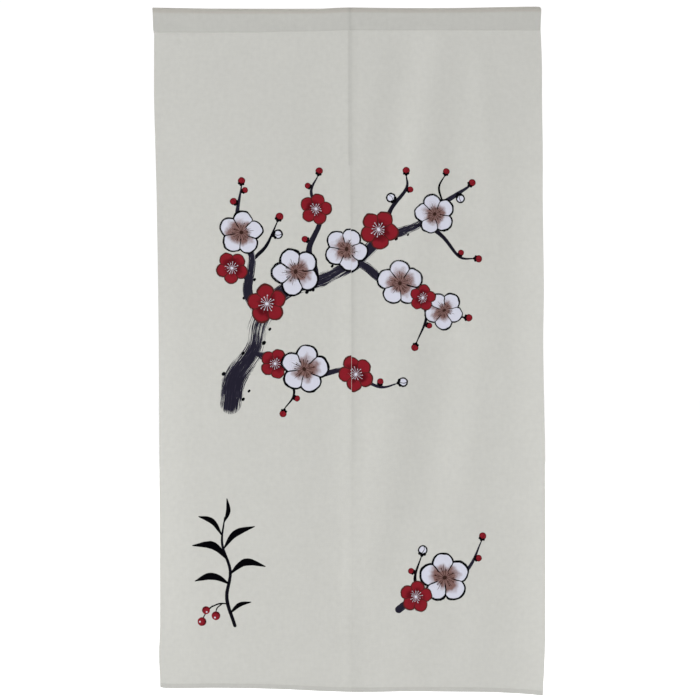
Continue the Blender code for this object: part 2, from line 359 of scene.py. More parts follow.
STROKES = (
    # the bough, from its broken foot to its tip
    Stroke("bough", 0.62, (
        (-0.266, 0.872, 0.0235), (-0.256, 0.816, 0.0260), (-0.214, 0.752, 0.0205),
        (-0.200, 0.690, 0.0225), (-0.148, 0.626, 0.0180), (-0.066, 0.600, 0.0155),
        (0.004, 0.562, 0.0165), (0.066, 0.508, 0.0120), (0.146, 0.478, 0.0098),
        (0.204, 0.430, 0.0068), (0.264, 0.390, 0.0024),
    )),
    # its side branches
    Stroke("twig", 0.46, (
        (-0.198, 0.686, 0.0040), (-0.210, 0.662, 0.0110), (-0.228, 0.622, 0.0108), (-0.218, 0.548, 0.0080),
        (-0.248, 0.470, 0.0056), (-0.238, 0.392, 0.0014),
    )),
    Stroke("twig", 0.34, (
        (-0.072, 0.602, 0.0030), (-0.082, 0.570, 0.0080), (-0.092, 0.530, 0.0066), (-0.066, 0.466, 0.0050),
        (-0.086, 0.408, 0.0034), (-0.070, 0.370, 0.0012),
    )),
    Stroke("twig", 0.46, (
        (0.004, 0.560, 0.0040), (0.034, 0.568, 0.0102), (0.078, 0.604, 0.0084), (0.150, 0.626, 0.0064),
        (0.206, 0.670, 0.0044), (0.256, 0.680, 0.0014),
    )),
    Stroke("twig", 0.28, (
        (0.070, 0.506, 0.0024), (0.078, 0.478, 0.0056), (0.090, 0.440, 0.0046), (0.124, 0.396, 0.0034),
        (0.124, 0.366, 0.0012),
    )),
    Stroke("twig", 0.28, (
        (0.146, 0.476, 0.0020), (0.176, 0.482, 0.0050), (0.206, 0.504, 0.0042), (0.240, 0.546, 0.0030),
        (0.272, 0.550, 0.0012),
    )),
    Stroke("twig", 0.48, (
        (-0.210, 0.762, 0.0040), (-0.186, 0.770, 0.0112), (-0.150, 0.778, 0.0094), (-0.080, 0.808, 0.0068),
        (-0.010, 0.798, 0.0050), (0.060, 0.832, 0.0032), (0.104, 0.824, 0.0012),
    )),
    Stroke("twig", 0.20, (
        (-0.220, 0.561, 0.0018), (-0.206, 0.546, 0.0040), (-0.184, 0.522, 0.0034), (-0.160, 0.470, 0.0012),
    )),
    Stroke("twig", 0.20, (
        (0.148, 0.625, 0.0018), (0.158, 0.646, 0.0040), (0.166, 0.682, 0.0032), (0.144, 0.736, 0.0012),
    )),
    Stroke("twig", 0.15, ((-0.150, 0.778, 0.0044), (-0.126, 0.846, 0.0028), (-0.148, 0.884, 0.0012))),
    Stroke("twig", 0.12, ((0.206, 0.430, 0.0018), (0.196, 0.394, 0.0024), (0.210, 0.366, 0.0010))),
    *(moss_dot(*dot) for dot in MOSS_DOTS),
    # the sprig at the lower left: its stem, then its leaves and its berries' stalks
    Stroke("bough", 0.20, (
        (-0.258, 1.360, 0.0038), (-0.276, 1.300, 0.0040), (-0.268, 1.240, 0.0034),
        (-0.286, 1.180, 0.0028), (-0.280, 1.122, 0.0014),
    )),
    *(Stroke("twig", 0.03, leaf) for leaf in (
        ((-0.271, 1.268, 0.0016), (-0.296, 1.254, 0.0068), (-0.318, 1.252, 0.0076), (-0.346, 1.262, 0.0010)),
        ((-0.268, 1.246, 0.0016), (-0.246, 1.226, 0.0066), (-0.226, 1.220, 0.0078), (-0.190, 1.230, 0.0010)),
        ((-0.273, 1.216, 0.0016), (-0.294, 1.192, 0.0070), (-0.314, 1.182, 0.0082), (-0.352, 1.184, 0.0010)),
        ((-0.282, 1.190, 0.0016), (-0.264, 1.164, 0.0064), (-0.246, 1.152, 0.0070), (-0.214, 1.142, 0.0010)),
        ((-0.286, 1.162, 0.0014), (-0.302, 1.136, 0.0054), (-0.316, 1.126, 0.0058), (-0.338, 1.120, 0.0010)),
        ((-0.281, 1.132, 0.0012), (-0.272, 1.108, 0.0052), (-0.275, 1.080, 0.0010)),
        ((-0.269, 1.333, 0.0014), (-0.248, 1.314, 0.0050), (-0.222, 1.308, 0.0010)),
    )),
    Stroke("twig", 0.04, ((-0.272, 1.312, 0.0014), (-0.294, 1.312, 0.0017), (-0.320, 1.324, 0.0012))),
    Stroke("bough", 0.04, ((-0.286, 1.3115, 0.0014), (-0.298, 1.322, 0.0013), (-0.300, 1.334, 0.0011))),
    Stroke("bough", 0.04, ((-0.308, 1.3165, 0.0014), (-0.322, 1.332, 0.0013), (-0.330, 1.346, 0.0011))),
    # the cut twig at the lower right
    Stroke("twig", 0.38, (
        (0.104, 1.322, 0.0084), (0.150, 1.288, 0.0070), (0.206, 1.274, 0.0056),
        (0.258, 1.230, 0.0038), (0.286, 1.170, 0.0012),
    )),
    Stroke("twig", 0.15, (
        (0.148, 1.289, 0.0018), (0.142, 1.270, 0.0038), (0.140, 1.246, 0.0030), (0.154, 1.204, 0.0012),
    )),
)


def brush_path(touches, steps=6):
    """The stroke's centre line as close points, on a smooth curve through its touches."""
    knots = [Vector(touch) for touch in touches]
    ends = [2.0 * knots[0] - knots[1], *knots, 2.0 * knots[-1] - knots[-2]]
    path = []
    for a, b, c, d in zip(ends, ends[1:], ends[2:], ends[3:]):
        for t in (step / steps for step in range(steps)):
            bend = (2.0 * a - 5.0 * b + 4.0 * c - d) * t * t + (3.0 * (b - c) - a + d) * t**3
            path.append(0.5 * (2.0 * b + (c - a) * t + bend))
    return [*path, knots[-1]]


def place_in_stroke(path, x, drop):
    """Along a stroke, to its side, its half width there, and how far past its ends a point is."""
    nearest = math.inf
    travelled = 0.0
    last = len(path) - 2
    for i, (start, end) in enumerate(zip(path, path[1:])):
        run = (end - start).to_2d()
        off = Vector((x, drop)) - start.to_2d()
        share = off.dot(run) / run.length_squared
        held = min(max(share, 0.0), 1.0)
        gap = (off - run * held).length
        if gap < nearest:
            nearest = gap
            side = run.cross(off) / run.length
            past = run.length * max(-share if i == 0 else 0.0, share - 1.0 if i == last else 0.0, 0.0)
            across = side if past > 0.0 else math.copysign(gap, side)
            half = start.z + (end.z - start.z) * held
            place = (travelled + run.length * held, across, half)
        travelled += run.length
    return nearest, place, past


def brushed_ink_group():
    """The ink that a brush leaves at a place in its stroke, streaked by its bristles where dry."""
    group, (path, ink) = open_group(
        "brushed_ink", {"Path": "Vector", "Ink": "Vector"}, {"Cover": "Float", "Colour": "Color"}
    )
    along, across, half = path.parts()
    dryness, past, number = ink.parts()
    margin = vector(group, along * 70.0, across.maths("SIGN") * 3.0, number)
    fray = vector(group, along * 420.0, across * 420.0, number)
    frayed = 0.0013 * (grain(group, fray, 1.0) - 0.5) * (0.4 + dryness)
    reach = half * (0.86 + 0.26 * grain(group, margin, 1.0, 3.0)) + frayed
    gone = (across * across + past * past).maths("SQRT")
    inside = ((reach - gone) * 2600.0 + 0.5).maths("MINIMUM", 1.0).maths("MAXIMUM", 0.0)
    inside = inside * half.fade(0.0002, 0.0005)
    # bristles leave streaks along the stroke, most at its rims and where the brush runs dry
    bristles = vector(group, along * 13.0, across / BRISTLE_WIDTH, number * 7.0)
    hairs = vector(group, along * 60.0, across * 1500.0, number * 5.0)
    streak = 0.72 * grain(group, bristles, 1.0, 3.0, 0.6) + 0.28 * grain(group, hairs, 1.0)
    spent = grain(group, vector(group, along * 9.0, number * 3.0, 0.0), 1.0, 1.0)
    rim = (gone / half.maths("MAXIMUM", 0.0005)).fade(0.35, 1.0)
    need = 0.20 + dryness * (0.25 + 0.24 * rim + 0.85 * (spent - 0.5))
    laid = (streak - need).fade(-0.02, 0.03)
    dense = vector(group, along * 30.0, across * 260.0, number * 2.0)
    depth = (grain(group, dense, 1.0, 3.0) + 0.8 * (streak - need)).fade(0.22, 0.58)
    dry_colour = tint(group, depth, GREY_WASH, CHARCOAL_INK)
    colour = tint(group, dryness.fade(0.10, 0.42), BLACK_INK, dry_colour)
    return close_group(group, inside * laid, colour)


# --------------------------------------------------------------------
# The blossom of the print
# White and red plum flowers, buds and berries, each outlined or filled with the brush, sit on
# the bough and the twigs. A brown wash shades the white petals from their middle.
# --------------------------------------------------------------------
PRINT_WHITE = (0.645, 0.652, 0.748)
PRINT_RED = (0.236, 0.0135, 0.0220)
DEEP_RED = (0.105, 0.0055, 0.0100)
PRINT_BROWN = (0.190, 0.0900, 0.0740)
DARK_BROWN = (0.0400, 0.0180, 0.0140)
PETALS = 5
STAMENS = 13

WHITE_FLOWER, RED_FLOWER, RED_BUD, WHITE_BUD, BERRY = 1, 2, 3, 4, 5

# place, radius of the whole flower, and how far it is turned, in degrees; some lie over others
Blossom = namedtuple("Blossom", "kind over x drop radius turn")
BLOSSOMS = (
    # on the bough, from its foot up
    Blossom(RED_FLOWER, True, -0.186, 0.652, 0.045, 25),
    Blossom(WHITE_FLOWER, False, -0.122, 0.582, 0.056, 40),
    Blossom(WHITE_FLOWER, False, -0.010, 0.532, 0.050, 66),
    Blossom(RED_FLOWER, True, 0.062, 0.486, 0.044, 60),
    Blossom(WHITE_FLOWER, False, 0.186, 0.452, 0.046, 30),
    Blossom(RED_BUD, True, 0.268, 0.384, 0.013, 40),
    Blossom(RED_BUD, True, 0.212, 0.360, 0.012, 70),
    Blossom(WHITE_BUD, True, 0.2425, 0.4155, 0.015, -60),
    # on the upright branch at the left
    Blossom(WHITE_FLOWER, False, -0.240, 0.496, 0.050, 12),
    Blossom(RED_FLOWER, True, -0.262, 0.574, 0.036, 50),
    Blossom(RED_BUD, True, -0.238, 0.384, 0.013, 80),
    Blossom(RED_BUD, True, -0.2545, 0.4285, 0.013, 150),
    Blossom(RED_BUD, False, -0.2325, 0.4035, 0.011, 30),
    Blossom(RED_BUD, True, -0.157, 0.4625, 0.014, 65),
    Blossom(WHITE_BUD, False, -0.162, 0.500, 0.016, 15),
    # on the upright twig before the middle
    Blossom(RED_FLOWER, True, -0.076, 0.444, 0.036, 5),
    Blossom(RED_BUD, True, -0.068, 0.362, 0.013, 75),
    Blossom(RED_BUD, False, -0.0915, 0.3935, 0.011, 150),
    Blossom(RED_BUD, True, -0.099, 0.511, 0.012, 160),
    # on the branch that hangs to the right
    Blossom(WHITE_FLOWER, False, 0.108, 0.604, 0.052, 20),
    Blossom(WHITE_FLOWER, False, 0.206, 0.664, 0.044, 52),
    Blossom(RED_FLOWER, True, 0.158, 0.636, 0.030, 80),
    Blossom(RED_BUD, True, 0.2585, 0.680, 0.013, 0),
    Blossom(RED_BUD, True, 0.1415, 0.7435, 0.013, -110),
    Blossom(RED_BUD, True, 0.171, 0.6965, 0.011, -20),
    # on the small twigs at the right
    Blossom(WHITE_BUD, True, 0.0915, 0.417, 0.016, 140),
    Blossom(RED_BUD, True, 0.124, 0.358, 0.013, 90),
    Blossom(RED_BUD, True, 0.131, 0.3985, 0.011, 20),
    Blossom(RED_BUD, True, 0.280, 0.550, 0.013, -5),
    Blossom(RED_BUD, True, 0.2425, 0.5385, 0.011, 60),
    # on the branch that hangs towards the middle
    Blossom(WHITE_FLOWER, True, -0.104, 0.796, 0.056, 8),
    Blossom(RED_FLOWER, True, 0.010, 0.804, 0.040, 44),
    Blossom(RED_FLOWER, False, -0.168, 0.784, 0.034, 70),
    Blossom(RED_BUD, True, -0.150, 0.892, 0.013, -110),
    Blossom(RED_BUD, False, -0.1215, 0.860, 0.011, -20),
    Blossom(WHITE_BUD, True, 0.112, 0.822, 0.016, 10),
    Blossom(RED_BUD, False, 0.0635, 0.8225, 0.012, 80),
    # on the sprig and on the cut twig
    Blossom(BERRY, True, -0.300, 1.338, 0.011, 20),
    Blossom(BERRY, False, -0.322, 1.326, 0.010, 70),
    Blossom(BERRY, True, -0.331, 1.351, 0.011, -40),
    Blossom(WHITE_FLOWER, False, 0.204, 1.252, 0.056, 24),
    Blossom(RED_FLOWER, True, 0.142, 1.294, 0.036, 10),
    Blossom(RED_BUD, True, 0.2875, 1.1625, 0.013, 70),
    Blossom(WHITE_BUD, True, 0.156, 1.194, 0.016, 80),
    Blossom(RED_BUD, True, 0.1325, 1.2385, 0.011, 150),
    Blossom(RED_BUD, True, 0.277, 1.2095, 0.012, 10),
)


def disc(x, y, centre_x, centre_y, radius):
    """How far outside a round shape a place is; below zero inside it."""
    a, b = x - centre_x, y - centre_y
    return (a * a + b * b).maths("SQRT") - radius


def open_flower(tree, x, y, number, red):
    """A flower from above, in its own radii: clefts, a shaded middle, veins and stamens."""
    r = (x * x + y * y).maths("SQRT")
    angle = y.maths("ARCTAN2", x)
    fifth = 2.0 * math.pi / PETALS
    petal = (angle / fifth + 0.5).maths("FLOOR")
    lean = angle - petal * fifth
    own = wire(tree, "ShaderNodeTexWhiteNoise", vector(tree, petal, number, 0.0))
    along, aside = r * lean.maths("COSINE"), r * lean.maths("SINE")
    edge = disc(along, aside, 0.54, 0.0, 0.405 + 0.05 * own)
    petals = edge.fade(0.015, -0.015).maths("MAXIMUM", r.fade(0.26, 0.22))
    swell = grain(tree, vector(tree, x * 1.3, y * 1.3, number * 3.1), 1.0)
    weight = 0.010 + 0.056 * swell
    outline = (abs(edge + 0.015) - weight).fade(0.012, -0.008) * r.fade(0.24, 0.34)
    cleft = (r * (0.5 * fifth - abs(lean)).maths("SINE") - 0.5 * weight).fade(0.014, -0.006)
    lines = outline.maths("MAXIMUM", cleft * r.fade(0.20, 0.34) * petals)
    lines = lines.maths("MAXIMUM", edge.fade(-0.03, -0.015) * r.fade(0.24, 0.34))
    # fine veins run out along each petal
    vein_gap = 0.20
    vein = (lean / vein_gap + 0.5).maths("FLOOR").maths("MINIMUM", 1.0).maths("MAXIMUM", -1.0)
    off_vein = abs(r * (lean - vein * vein_gap))
    length = 0.60 - 0.12 * abs(vein) - 0.14 * own
    veins = off_vein.fade(0.016, 0.004) * r.fade(0.15, 0.24) * r.fade(length, length - 0.10)
    # stamens stand round the middle, each with a dot at its end
    sector = 2.0 * math.pi / STAMENS
    stamen = (angle / sector + 0.5).maths("FLOOR")
    luck = wire(tree, "ShaderNodeTexWhiteNoise", vector(tree, stamen, number, 5.0))
    tilt = angle - (stamen + 0.35 * (luck - 0.5)) * sector
    out, off = r * tilt.maths("COSINE"), r * tilt.maths("SINE")
    reach = 0.24 + 0.17 * luck
    thread = abs(off).fade(0.014, 0.005) * out.fade(reach, reach - 0.02) * r.fade(0.07, 0.10)
    dots = disc(out, off, reach, 0.0, 0.026).fade(0.010, -0.010)
    heart = r.fade(0.10, 0.07)
    fine = thread.maths("MAXIMUM", dots).maths("MAXIMUM", heart)
    # the wash pools towards the middle, more on some petals than on others
    blot = grain(tree, vector(tree, x * 3.0, y * 3.0, number * 1.7), 1.0, 2.0)
    wash = (r + 0.55 * (blot - 0.5) - 0.34 * (own - 0.5)).fade(0.62, 0.30)
    white = tint(tree, 0.95 * wash, PRINT_WHITE, PRINT_BROWN)
    white = tint(tree, 0.9 * veins, white, DARK_BROWN)
    white = tint(tree, fine, white, DARK_BROWN)
    white = tint(tree, lines, white, BLACK_INK)
    deep = tint(tree, wash, PRINT_RED, DEEP_RED)
    deep = tint(tree, 0.8 * lines.maths("MAXIMUM", veins), deep, DARK_BROWN)
    deep = tint(tree, fine, deep, PRINT_WHITE)
    cover = petals.maths("MAXIMUM", outline).maths("MAXIMUM", heart)
    return cover, tint(tree, red, white, deep)


def bud(tree, x, y, number, red):
    """A closed bud, in its own radii: it points along x, in a dark cup of three lobes."""
    ball = disc(x, y, 0.16, 0.0, 0.62)
    weight = 0.03 + 0.12 * grain(tree, vector(tree, x, y, number * 2.3), 1.0)
    outline = (abs(ball + 0.05) - weight).fade(0.05, -0.03)
    fold = (abs(disc(x, y, 0.30, 0.55, 0.72)) - 0.3 * weight).fade(0.05, -0.02) * ball.fade(0.0, -0.06)
    cup = disc(x, y, -0.52, 0.0, 0.26)
    for side in (-1.0, 1.0):
        cup = cup.maths("MINIMUM", disc(x, y, -0.34, 0.34 * side, 0.22))
    cup = cup.fade(0.03, -0.03)
    fill = tint(tree, red, PRINT_WHITE, PRINT_RED)
    line = tint(tree, red, BLACK_INK, DEEP_RED)
    outside = ball.fade(-0.08, -0.05)
    colour = tint(tree, outline.maths("MAXIMUM", fold).maths("MAXIMUM", outside), fill, line)
    cover = ball.fade(0.03, -0.03).maths("MAXIMUM", outline * (1.0 - red))
    return cover.maths("MAXIMUM", cup), tint(tree, cup, colour, BLACK_INK)


def berry(tree, x, y):
    """A round red berry, in its own radii, with a pale glint and a dark eye."""
    shade = tint(tree, disc(x, y, -0.25, -0.25, 0.5).fade(0.6, 0.0), DEEP_RED, PRINT_RED)
    shade = tint(tree, disc(x, y, -0.30, -0.28, 0.17).fade(0.06, -0.06), shade, PRINT_WHITE)
    shade = tint(tree, disc(x, y, 0.55, 0.45, 0.14).fade(0.06, -0.06), shade, BLACK_INK)
    return disc(x, y, 0.0, 0.0, 0.88).fade(0.05, -0.05), shade


def blossom_group():
    """Draws the flower, bud or berry whose own place, in its radii, comes in."""
    group, (place,) = open_group("blossom", {"Place": "Vector"}, {"Cover": "Float", "Colour": "Color"})
    x, y, code = place.parts()
    kind = code.maths("MODULO", 10.0)
    number = code / 10.0
    tremble = grain(group, vector(group, x * 2.4, y * 2.4, number * 3.7), 1.0, 2.0, out=1)
    shift_x, shift_y, _ = tremble.parts()
    x, y = x + 0.13 * (shift_x - 0.5), y + 0.13 * (shift_y - 0.5)
    red = kind.maths("COMPARE", RED_FLOWER + 0.5, 0.6)
    is_bud = kind.maths("COMPARE", RED_BUD + 0.5, 0.6)
    is_berry = kind.maths("COMPARE", BERRY, 0.1)
    cover, colour = open_flower(group, x, y, number, red)
    bud_cover, bud_colour = bud(group, x, y, number, red)
    berry_cover, berry_colour = berry(group, x, y)
    cover = cover + is_bud * (bud_cover - cover)
    cover = cover + is_berry * (berry_cover - cover)
    colour = tint(group, is_bud, colour, bud_colour)
    colour = tint(group, is_berry, colour, berry_colour)
    return close_group(group, cover * code.maths("GREATER_THAN", 0.5), colour)


def printed_group():
    """The whole print: the cloth's colour comes in, and goes out under the ink."""
    group, (cloth, strength) = open_group(
        "printed_design", {"Cloth": "Color", "Strength": "Float"}, {"Colour": "Color"}
    )
    ink, blossom = brushed_ink_group(), blossom_group()
    printed = cloth
    for layer in ("bough", "twig"):
        path = wire(group, "ShaderNodeAttribute", attribute_name=layer + "_path", out=1)
        wetness = wire(group, "ShaderNodeAttribute", attribute_name=layer + "_ink", out=1)
        cover, shade = use_group(group, ink, path, wetness)
        printed = tint(group, cover, printed, shade)
    for layer in ("blossom_under", "blossom_over"):
        place = wire(group, "ShaderNodeAttribute", attribute_name=layer, out=1)
        cover, shade = use_group(group, blossom, place)
        printed = tint(group, cover, printed, shade)
    # the ink misses the very edges where the two panels meet
    inner, _, _ = wire(group, "ShaderNodeUVMap", uv_map="cloth").parts()
    return close_group(group, tint(group, strength * abs(inner).fade(0.0003, 0.0008), cloth, printed))


PRINT = printed_group()

# faces are looked up in square cells, and ink is laid a little past each stroke and flower;
# a flower's search and reach are in its own radii
CELL = 0.010
STROKE_SEARCH = 0.012
STROKE_MARGIN = 0.009
FLOWER_SEARCH = 1.4
FLOWER_REACH = 1.1
FLOWER_MARGIN = 0.004


def lay_print(cloth, flat):
    """Writes on each face corner where it lies in the stroke and in the flowers near it."""
    layers = cloth.loops.layers.float_vector
    middles = {}
    cells = {}
    for face in cloth.faces:
        corners = [flat[vert] for vert in face.verts]
        middle = (sum(u for u, _ in corners) / 4.0, sum(v for _, v in corners) / 4.0)
        middles[face] = middle
        cells.setdefault((middle[0] // CELL, middle[1] // CELL), []).append(face)

    def faces_near(x, drop, reach):
        span = int(reach // CELL) + 1
        for i in range(-span, span + 1):
            for j in range(-span, span + 1):
                yield from cells.get((x // CELL + i, drop // CELL + j), ())

    for layer in ("bough", "twig"):
        paths, inks = layers.new(layer + "_path"), layers.new(layer + "_ink")
        winners = {}
        for number, stroke in enumerate(STROKES):
            if stroke.layer != layer:
                continue
            path = brush_path(stroke.touches)
            reaches = [(point.x, point.y, point.z + STROKE_SEARCH) for point in path]
            for face in {face for reach in reaches for face in faces_near(*reach)}:
                gap, place, _ = place_in_stroke(path, *middles[face])
                outside = gap - place[2]
                if outside < STROKE_MARGIN and outside < winners.get(face, (1.0,))[0]:
                    winners[face] = (outside, number, path)
        for face, (_, number, path) in winners.items():
            for loop in face.loops:
                _, place, past = place_in_stroke(path, *flat[loop.vert])
                loop[paths] = place
                loop[inks] = (STROKES[number].dryness, past, number)

    for layer, over in (("blossom_under", False), ("blossom_over", True)):
        places = layers.new(layer)
        for number, flower in enumerate(BLOSSOMS):
            if flower.over != over:
                continue
            turn = Matrix.Rotation(math.radians(flower.turn), 2)
            flower_middle = Vector((flower.x, flower.drop))
            for face in faces_near(flower.x, flower.drop, flower.radius * FLOWER_SEARCH):
                from_middle = Vector(middles[face]) - flower_middle
                if from_middle.length > flower.radius * FLOWER_REACH + FLOWER_MARGIN:
                    continue
                for loop in face.loops:
                    off = (Vector(flat[loop.vert]) - flower_middle) / flower.radius
                    off.y = -off.y
                    own = off @ turn
                    loop[places] = (own.x, own.y, 10 * number + flower.kind)


# --------------------------------------------------------------------
# The two panels
# Each is one cut length with a narrow hem turned up at the back of its foot. They are sewn to
# each other down to 350 mm below the top edge, and hang free below that.
# --------------------------------------------------------------------
EDGE_COLUMNS = (0.0, 0.0008, 0.0016, 0.0028, 0.0042, 0.0054)
EVEN_COLUMNS = 90
PANEL_ROWS = 316
PRINT_SLIP = 0.0030

# the seam's foot, the span over which it ends, and how its edges roll to the back
SEAM_FOOT = 0.350
SEAM_END = 0.008
SEAM_ROLL = 0.0002
SEAM_ROLL_WIDTH = 0.0028

# below the seam the left edge passes a little way behind the right one, which curls forward
FREE_EDGE_WIDTH = 0.012
EDGE_OVERLAP = 0.0010
EDGE_CURL = 0.0005
EDGE_SET_BACK = 0.0002

# painted shade along the seam, for the spare cloth behind it that lets less light through: how far
# it reaches, more so to the right, a wider and weaker painted shade to the right, and a weaker
# painted shade along the slit below the seam's foot, where no spare cloth lies
SEAM_ALLOWANCE = 0.0050
SPARE_REACH = SEAM_ALLOWANCE + 0.0018
SPARE_LEAN = 0.0012
SPARE_FADE = 0.0044
RIGHT_SHADE_SHARE = 0.28
RIGHT_SHADE_REACH = 0.019
RIGHT_SHADE_FADE = 0.008
SLIT_SHADE_SHARE = 0.62
SLIT_SHADE_FOOT = 1.15
SLIT_SHADE_FADE = 0.45

HEM_HEIGHT = 0.0092
HEM_RIM = 0.0012
HEM_FOLD_RADIUS = 0.0009
# how far past the foot each extra row lies, round the fold and up the back
HEM_ROWS = (0.0005, 0.0011, 0.0017, 0.0023, 0.0029, 0.0050, 0.0080, 0.0111)
# how far above the foot the last rows lie, two of them at the hem's upper edge
FOOT_ROWS = (0.0100, 0.0086, 0.0010)

# soft unevenness of cloth: its depth, and how many waves it has in a metre across and down
Ripple = namedtuple("Ripple", "depth across down seed")
FINE_RIPPLE = Ripple(0.00016, 40.0, 34.0, 3.0)
BROAD_RIPPLE = Ripple(0.00045, 11.0, 7.0, 8.0)
HEADING_PUCKER = Ripple(0.00035, 75.0, 12.0, 5.0)
HEM_PUCKER = Ripple(0.00030, 60.0, 12.0, 1.0)
SEAM_PUCKER = Ripple(0.00030, 14.0, 70.0, 2.0)

# how far from its seam each pucker runs out
HEADING_PUCKER_REACH = 0.030
HEM_PUCKER_REACH = 0.024
SEAM_PUCKER_REACH = 0.020
SEAM_PUCKER_END = 0.02

# a small dent in the left panel, below the heading
DENT_PLACE = (-0.367, 0.069)
DENT_RADIUS = 0.012
DENT_DEPTH = 0.0015


def ripple_depth(ripple, u, drop, share=1.0):
    place = Vector((u * ripple.across, drop * ripple.down, ripple.seed))
    return ripple.depth * share * noise.noise(place)


def crinkle(u, drop):
    """The small unevenness of a flat cloth, and the puckers that sewing leaves beside a seam."""
    below_heading = ramp(1.0 - (drop - HEADING_HEIGHT) / HEADING_PUCKER_REACH)
    above_hem = ramp(1.0 - abs(CURTAIN_LENGTH - HEM_HEIGHT - drop) / HEM_PUCKER_REACH)
    beside_seam = ramp(1.0 - abs(u) / SEAM_PUCKER_REACH)
    beside_seam *= ramp((SEAM_FOOT + SEAM_PUCKER_END / 2 - drop) / SEAM_PUCKER_END)
    depth = ripple_depth(FINE_RIPPLE, u, drop)
    depth += ripple_depth(BROAD_RIPPLE, u, drop)
    depth += ripple_depth(HEADING_PUCKER, u, drop, below_heading)
    depth += ripple_depth(HEM_PUCKER, u, drop, above_hem)
    depth += DENT_DEPTH * bell(math.hypot(u - DENT_PLACE[0], drop - DENT_PLACE[1]) / DENT_RADIUS)
    depth += ripple_depth(SEAM_PUCKER, u, drop, beside_seam)
    return depth


def panel_front(x, u, drop):
    """How far back the front of a panel's cloth lies."""
    return fold_depth(x, drop) + crinkle(u, drop) - SOLID_THICKNESS / 2


def hem_place(past):
    """Round the hem's fold and up the back: how far behind the front, and how far above the foot."""
    angle = past / HEM_FOLD_RADIUS
    if angle < math.pi:
        return HEM_FOLD_RADIUS * (1.0 - math.cos(angle)), -HEM_FOLD_RADIUS * math.sin(angle)
    return 2.0 * HEM_FOLD_RADIUS, past - math.pi * HEM_FOLD_RADIUS


def finish_piece(cloth, name, materials):
    """Turns a bmesh into the named piece, smooth but for its cut edges, with its own materials."""
    for face in cloth.faces:
        face.smooth = True
    for edge in cloth.edges:
        edge.smooth = not edge.is_boundary
    mesh = bpy.data.meshes.new(name)
    cloth.to_mesh(mesh)
    cloth.free()
    for material in materials:
        mesh.materials.append(material)
    piece = bpy.data.objects.new(name, mesh)
    bpy.context.scene.collection.objects.link(piece)
    return piece


def map_flat(cloth, flat):
    flat_map = cloth.loops.layers.uv.new("cloth")
    for face in cloth.faces:
        for loop in face.loops:
            loop[flat_map].uv = flat[loop.vert]


def seam_shade(side, from_seam, drop, sewn):
    """Painted shade at a place in a panel: from the seam's spare cloth behind it, which lets less light
    through, and along the slit below the seam's foot.
    """
    spare = ramp((SPARE_REACH + SPARE_LEAN * side - from_seam) / SPARE_FADE)
    if side < 0:
        return spare * sewn
    thin = RIGHT_SHADE_SHARE * ramp((RIGHT_SHADE_REACH - from_seam) / RIGHT_SHADE_FADE)
    below = SLIT_SHADE_SHARE * ramp((SLIT_SHADE_FOOT - drop) / SLIT_SHADE_FADE)
    return max(spare, thin) * max(sewn, below)


def give_thickness(piece, thickness=CLOTH_THICKNESS):
    """The cloth's thickness, laid on behind its front face."""
    solidify = piece.modifiers.new("cloth thickness", "SOLIDIFY")
    solidify.thickness = thickness
    solidify.offset = -1.0
    return solidify


